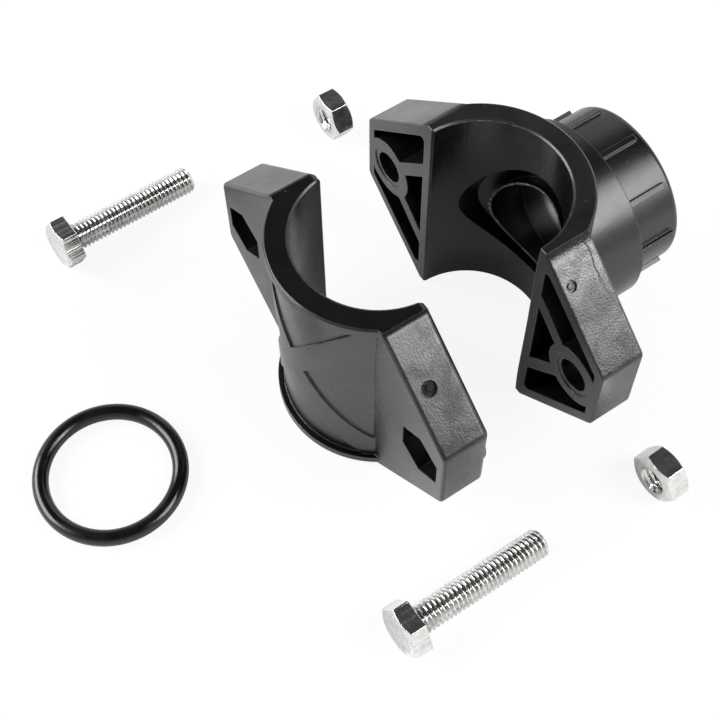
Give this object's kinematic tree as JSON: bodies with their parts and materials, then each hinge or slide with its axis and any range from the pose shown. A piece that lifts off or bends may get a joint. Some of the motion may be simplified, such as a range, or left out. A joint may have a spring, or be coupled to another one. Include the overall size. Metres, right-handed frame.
{
  "type": "tapping saddle",
  "caption": "Two-part bolt-on clamp saddle that seals a threaded branch outlet onto a plastic pipe, laid apart with its seal ring, hexagon bolts and nuts.",
  "frame": {"origin": "pipe axis of the clamp half, at the end face that the half stands on", "axes": "+Z along the pipe axis, up from the bench; +Y along the branch outlet, out of its mouth"},
  "size_m": [0.1273, 0.1317, 0.05],
  "materials": {
    "moulded_plastic": "black glass-filled polypropylene, moulded, fine satin grain",
    "seal_rubber": "black nitrile rubber, smooth and slightly oily",
    "plated_steel": "bright zinc plate"
  },
  "bodies": {
    "clamp": {"clamp_half": "moulded_plastic", "o_ring": "seal_rubber", "bolt_far": "plated_steel", "bolt_near": "plated_steel", "nut_far": "plated_steel", "nut_near": "plated_steel"},
    "saddle": {"saddle_body": "moulded_plastic"}
  },
  "joints": [
    {"name": "saddle_close", "type": "slide", "parent": "clamp", "child": "saddle", "axis": [-0.1277, -0.9918, 0], "range_m": [0, 0.02169]}
  ]
}
